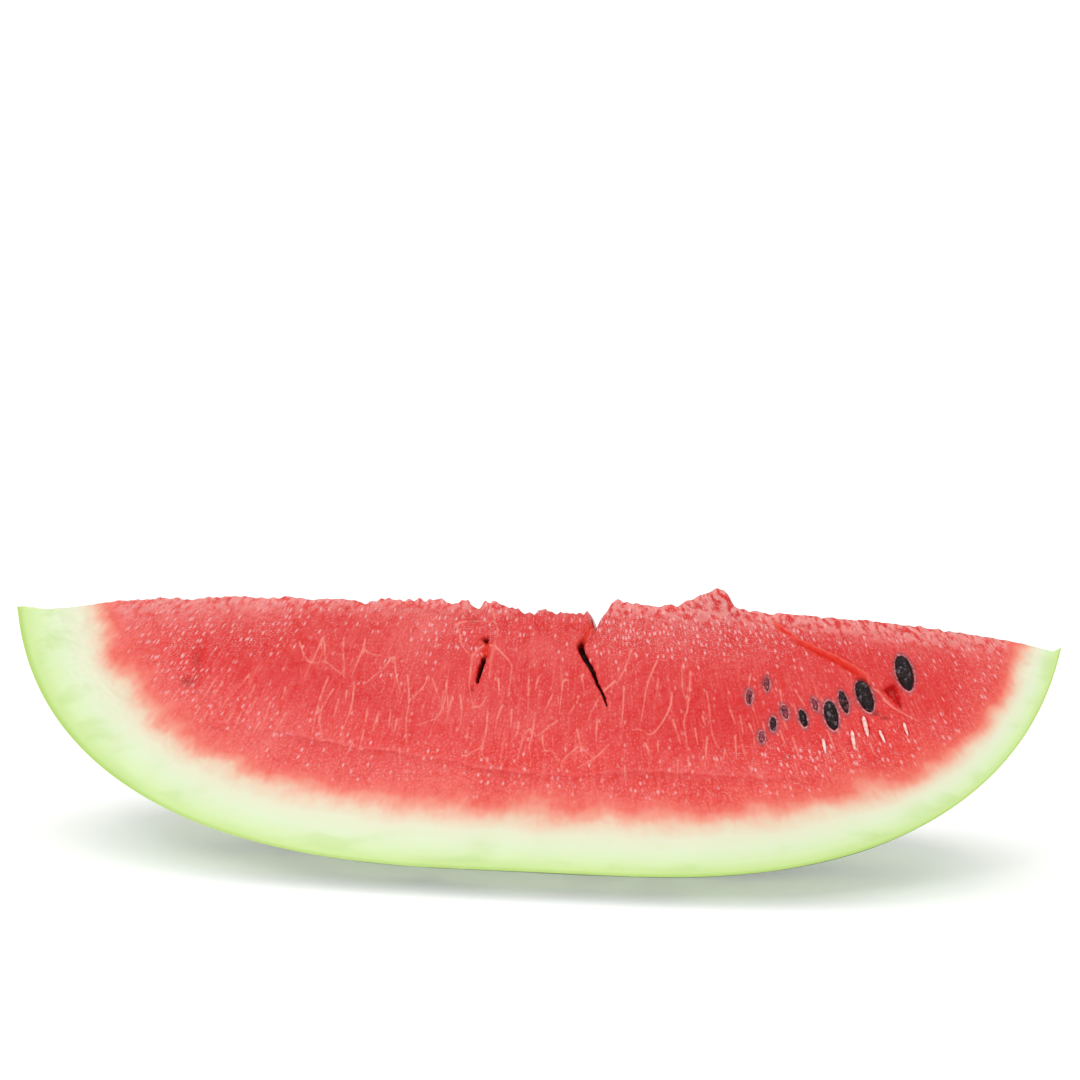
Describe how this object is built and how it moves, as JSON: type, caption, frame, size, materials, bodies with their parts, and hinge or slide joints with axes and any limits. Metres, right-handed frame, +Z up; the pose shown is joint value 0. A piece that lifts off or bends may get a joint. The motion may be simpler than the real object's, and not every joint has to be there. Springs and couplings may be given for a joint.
{
  "type": "watermelon wedge",
  "caption": "Long wedge of ripe watermelon cut lengthwise, lying on its rind: red flesh, pale rind, striped green skin, black and pale seeds.",
  "frame": {"origin": "the middle of the wedge's length and depth, on the surface that its rind lies on", "axes": "+X along the melon's length, +Z up to the crest where the two cuts meet, and -Y out towards the cut face that is seen in the picture"},
  "size_m": [0.3668, 0.0962, 0.0995],
  "materials": {
    "flesh": "wet, grainy, slightly translucent red flesh that pales to white and green at the rind, with a satin green skin that has dark jagged stripes",
    "black_seed": "hard, smooth, wet brown-black seed coat",
    "pale_seed": "soft, wet, cream-white coat of an unripe seed"
  },
  "bodies": {
    "root": {"wedge": "flesh", "front_black_seed_1": "black_seed", "front_black_seed_2": "black_seed", "front_black_seed_3": "black_seed", "front_black_seed_4": "black_seed", "front_black_seed_5": "black_seed", "front_black_seed_6": "black_seed", "front_black_seed_7": "black_seed", "front_black_seed_8": "black_seed", "front_black_seed_9": "black_seed", "front_black_seed_10": "black_seed", "front_black_seed_11": "black_seed", "front_pale_seed_1": "pale_seed", "front_pale_seed_2": "pale_seed", "front_pale_seed_3": "pale_seed", "front_pale_seed_4": "pale_seed", "front_pale_seed_5": "pale_seed", "back_black_seed_1": "black_seed", "back_black_seed_2": "black_seed", "back_black_seed_3": "black_seed", "back_black_seed_4": "black_seed", "back_black_seed_5": "black_seed", "back_black_seed_6": "black_seed", "back_black_seed_7": "black_seed", "back_black_seed_8": "black_seed", "back_pale_seed_1": "pale_seed", "back_pale_seed_2": "pale_seed", "back_pale_seed_3": "pale_seed", "back_pale_seed_4": "pale_seed"}
  },
  "joints": []
}
